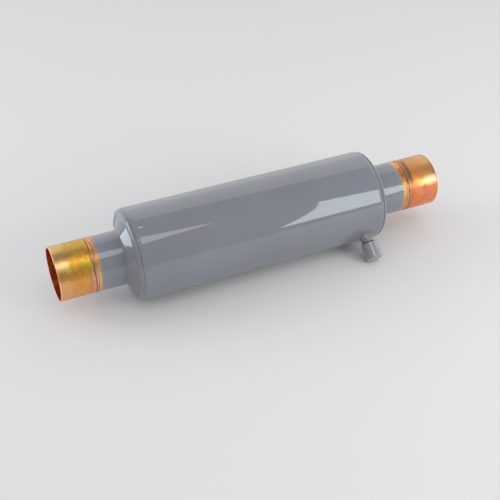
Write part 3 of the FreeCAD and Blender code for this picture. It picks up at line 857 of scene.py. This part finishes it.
# Filter element. Thick white felt folded into deep pleats round a perforated
# steel tube, between two pressed steel discs; a moulded ring seals its open
# end on the inside of the outlet cap.
felt_low, felt_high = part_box("pleated_element")
PLEAT_TIP = felt_high[2] - 0.02 * MM
PLEAT_ROOT = 17.52 * MM
PLEATS = 30
PLEAT_BEND = 0.97
FELT = 0.9 * MM
FELT_WHITE, FELT_CREAM = (0.72, 0.70, 0.64), (0.62, 0.59, 0.52)
ZINC, ZINC_DULL = (0.62, 0.60, 0.55), (0.47, 0.45, 0.40)
DISC_ZINC = (0.64, 0.61, 0.54)
PRESSED = (300, 300, 300)
GASKET_BLACK, GASKET_WORN = (0.025, 0.025, 0.027), (0.045, 0.045, 0.046)


def pleats(per_pleat=28, row_step=4 * MM):
    """Grid of the folded felt. Its middle line goes round the axis while its
    radius swings between root and tip as a wave with rounded turns, arcsin of
    PLEAT_BEND cos; both faces lie half the felt's thickness from it, along the
    line's own normal, and they are carried along X."""
    count = PLEATS * per_pleat
    turn = 2 * math.pi * np.arange(count) / count
    swing = np.arcsin(PLEAT_BEND * np.cos(PLEATS * turn)) / math.asin(PLEAT_BEND)
    middle = (PLEAT_TIP + PLEAT_ROOT) / 2
    reach = (PLEAT_TIP - PLEAT_ROOT - FELT) / 2
    r = middle + reach * swing
    line = np.stack([r * np.cos(turn), r * np.sin(turn)], 1)
    tangent = np.roll(line, -1, 0) - np.roll(line, 1, 0)
    normal = np.stack([tangent[:, 1], -tangent[:, 0]], 1)
    normal /= np.linalg.norm(normal, axis=1)[:, None]
    rows = int((felt_high[0] - felt_low[0]) / row_step) + 1
    x = np.linspace(felt_low[0], felt_high[0], rows)
    faces = []
    for side, places in ((0.5, x), (-0.5, x[::-1])):
        loop = line + normal * FELT * side
        radius = np.linalg.norm(loop, axis=1)
        loop = loop * (np.clip(radius, PLEAT_ROOT, PLEAT_TIP) / radius)[:, None]
        across = np.broadcast_to(loop, (len(places), count, 2))
        faces.append(np.concatenate(
            [np.broadcast_to(places[:, None, None], (len(places), count, 1)), across], 2))
    return np.concatenate(faces)


felt = Finish("felt", Specular_IOR_Level=0.15, Sheen_Weight=0.3)
here = felt.place()
fibre = felt.noise(felt.place((500, 1400, 1400)), 1.0, 3.0, 0.65, 0.6)
felt.set(Base_Color=two_tone(felt, here, 60.0, 4.0, 0.35, 0.7, FELT_WHITE, FELT_CREAM),
         Roughness=fibre * 0.1 + 0.85)
felt.bump(fibre, 0.12 * MM)
element = skin("pleated_felt", pleats())
element.data.materials.append(felt.material)
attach(element, "filter")
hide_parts("pleated_element")

dress("core_tube", turned_metal("perforated tube zinc", ZINC, ZINC_DULL, 0.3, (90, 900, 900)))
dress("outlet_end_disc", turned_metal("outlet disc zinc", ZINC, ZINC_DULL, 0.28, PRESSED))
dress("inlet_end_disc", turned_metal("inlet disc zinc", DISC_ZINC, ZINC_DULL, 0.26, PRESSED))
dress("element_gasket", rubber("element gasket black", GASKET_BLACK, GASKET_WORN))


# Element spring and its seat. A conical spring of steel wire, between the
# element's closed disc and a pressed seat that rests on the inlet cap's slope,
# holds the element on its gasket.
spring_low, spring_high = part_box("element_spring")
SPRING_WIRE = 2.2 * MM
SPRING_SMALL_R, SPRING_LARGE_R = 14.4 * MM, 25.55 * MM
SPRING_TURNS = 4.5
SPRING_STEEL, SPRING_DULL = (0.50, 0.48, 0.45), (0.33, 0.31, 0.29)
SEAT_ZINC = (0.60, 0.58, 0.52)
spring = skin("element_coil", coil(
    spring_low[0] - COIL_GAP, spring_high[0] + COIL_GAP, SPRING_SMALL_R, SPRING_LARGE_R,
    SPRING_TURNS, SPRING_WIRE), wrap=False, poles=True)
spring.data.materials.append(turned_metal(
    "element spring steel", SPRING_STEEL, SPRING_DULL, 0.25).material)
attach(spring, "filter")
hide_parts("element_spring")
dress("spring_seat", turned_metal("spring seat zinc", SEAT_ZINC, ZINC_DULL, 0.3, PRESSED))


# Pale floor, and a studio of three softboxes, a fill in front and a small lamp
# overhead, in a dim room with a pale wall behind. The softboxes stand above left,
# low right and beyond the left end, as their reflections in the paint show.
FLOOR_Z = -SHELL_R
FLOOR_REACH = 6.0
FLOOR_PAPER, FLOOR_PAPER_LIGHT = (0.688, 0.692, 0.695), (0.698, 0.701, 0.702)
ROOM_TINT = (1.0, 0.99, 0.975)
WALL_HEADING = (math.sin(math.radians(40)), math.cos(math.radians(40)))
WALL_RISE, WALL_SPREAD = 1.67, 6.0
DOME_GLOW, ROOM_GLOW, WALL_GLOW, SEEN_GLOW = 0.79, 0.26, 1.02, 0.78
floor_mesh = bpy.data.meshes.new("floor")
floor_mesh.from_pydata([(FLOOR_REACH * i, FLOOR_REACH * j, FLOOR_Z) for i, j in (
    (-1, -1), (1, -1), (1, 1), (-1, 1))], [], [(0, 1, 2, 3)])
floor = bpy.data.objects.new("floor", floor_mesh)
bpy.context.scene.collection.objects.link(floor)
paper = Finish("floor paper", Specular_IOR_Level=0.2)
here = paper.place()
paper.set(Base_Color=paper.mix(paper.noise(here, 3.0), FLOOR_PAPER, FLOOR_PAPER_LIGHT),
          Roughness=paper.noise(here, 300.0) * 0.1 + 0.85)
floor_mesh.materials.append(paper.material)

# The room in gloss: WALL_GLOW on the wall, from the floor up to WALL_RISE and out
# to WALL_SPREAD times its distance, and ROOM_GLOW elsewhere. Plain light comes from
# an even dome, and the camera sees a pale backdrop.
world = bpy.data.worlds.new("studio")
bpy.context.scene.world = world
world.use_nodes = True
room = Shades(world.node_tree)
east, north, upward = room.split(room.add("ShaderNodeTexCoord", {})[0])
toward = east * WALL_HEADING[0] + north * WALL_HEADING[1]
aside = (east * WALL_HEADING[1] - north * WALL_HEADING[0]).math("ABSOLUTE")
wall = ((toward * WALL_RISE - upward).step(-0.02, 0.02)
        * (toward * WALL_SPREAD - aside).step(-0.05, 0.05))
path = room.add("ShaderNodeLightPath", {})
seen, mirrored = path[0], path[3]
backdrop = world.node_tree.nodes["Background"]
room.put(backdrop.inputs[0], ROOM_TINT)
reflected = ROOM_GLOW + wall * (WALL_GLOW - ROOM_GLOW)
room.put(backdrop.inputs[1], reflected * mirrored + seen * SEEN_GLOW
         + (1 - mirrored - seen) * DOME_GLOW)


def hang(name, corner, along_end, up_end, glow, tint, mirrored=True):
    """A rectangular lamp facing the filter, from one corner and the two corners
    next to it, with this brightness and tint, seen in gloss unless mirrored is
    off."""
    corner, along_end, up_end = (np.array(p) for p in (corner, along_end, up_end))
    first, second = along_end - corner, up_end - corner
    length, height = np.linalg.norm(first), np.linalg.norm(second)
    centre = corner + (first + second) / 2
    first = first / length
    second = second - first * (second @ first)
    second = second / np.linalg.norm(second)
    facing = np.cross(first, second)
    if facing @ (np.array([OVERALL / 2, 0, 0]) - centre) < 0:
        first, facing = -first, -facing
    lamp = bpy.data.lights.new(name, "AREA")
    lamp.shape, lamp.size, lamp.size_y = "RECTANGLE", length, height
    lamp.energy = glow * math.pi * length * height
    lamp.color = tint
    holder = bpy.data.objects.new(name, lamp)
    bpy.context.scene.collection.objects.link(holder)
    place = np.eye(4)
    place[:3, 0], place[:3, 1], place[:3, 2], place[:3, 3] = first, -second, -facing, centre
    holder.matrix_world = Matrix(place.tolist())
    holder.visible_camera = False
    holder.visible_glossy = mirrored


hang("left softbox", (0.601, -0.734, 1.394), (0.248, -0.301, 1.424), (0.272, -0.987, 1.175),
     2.5, (1.0, 0.88, 0.93))
hang("right softbox", (0.577, -1.081, 0.173), (1.265, -1.838, 0.271), (0.741, -0.835, 0.932),
     4.75, (0.89, 0.98, 1.0))
hang("end softbox", (-0.841, 0.868, -0.015), (-1.155, 0.302, -0.015), (-0.841, 0.868, 0.835),
     5.0, (0.78, 0.86, 1.0))
hang("overhead lamp", (0.385, 0.110, 1.45), (0.389, 0.110, 1.45), (0.385, 0.148, 1.45),
     18.0, (1.0, 0.98, 0.95))
hang("front fill", (0.62, -0.95, 0.15), (1.14, -0.65, 0.15), (0.62, -0.95, 0.75),
     3.3, (1.0, 0.98, 0.97), mirrored=False)


# Camera. Its place, heading and lens were fitted to the outlines of the shell, the
# necks and the sockets in the photograph; eye is measured from the outlet's rim.
LENS, SENSOR = 67.83, 36.0
eye = np.array([-0.15196 + RIM_OUTLET, -0.58130, 0.45861])
look = np.array([0.32061, 0.72655, -0.60773])
right = np.array([0.91488, -0.40372, 0.0])
up = np.cross(right, look)
camera_data = bpy.data.cameras.new("camera")
camera_data.lens, camera_data.sensor_width = LENS, SENSOR
camera_data.sensor_fit = "HORIZONTAL"
camera = bpy.data.objects.new("camera", camera_data)
bpy.context.scene.collection.objects.link(camera)
pose = np.eye(4)
pose[:3, 0], pose[:3, 1], pose[:3, 2], pose[:3, 3] = right, up, -look, eye
camera.matrix_world = Matrix(pose.tolist())
bpy.context.scene.camera = camera
bpy.context.scene.view_settings.view_transform = "Standard"
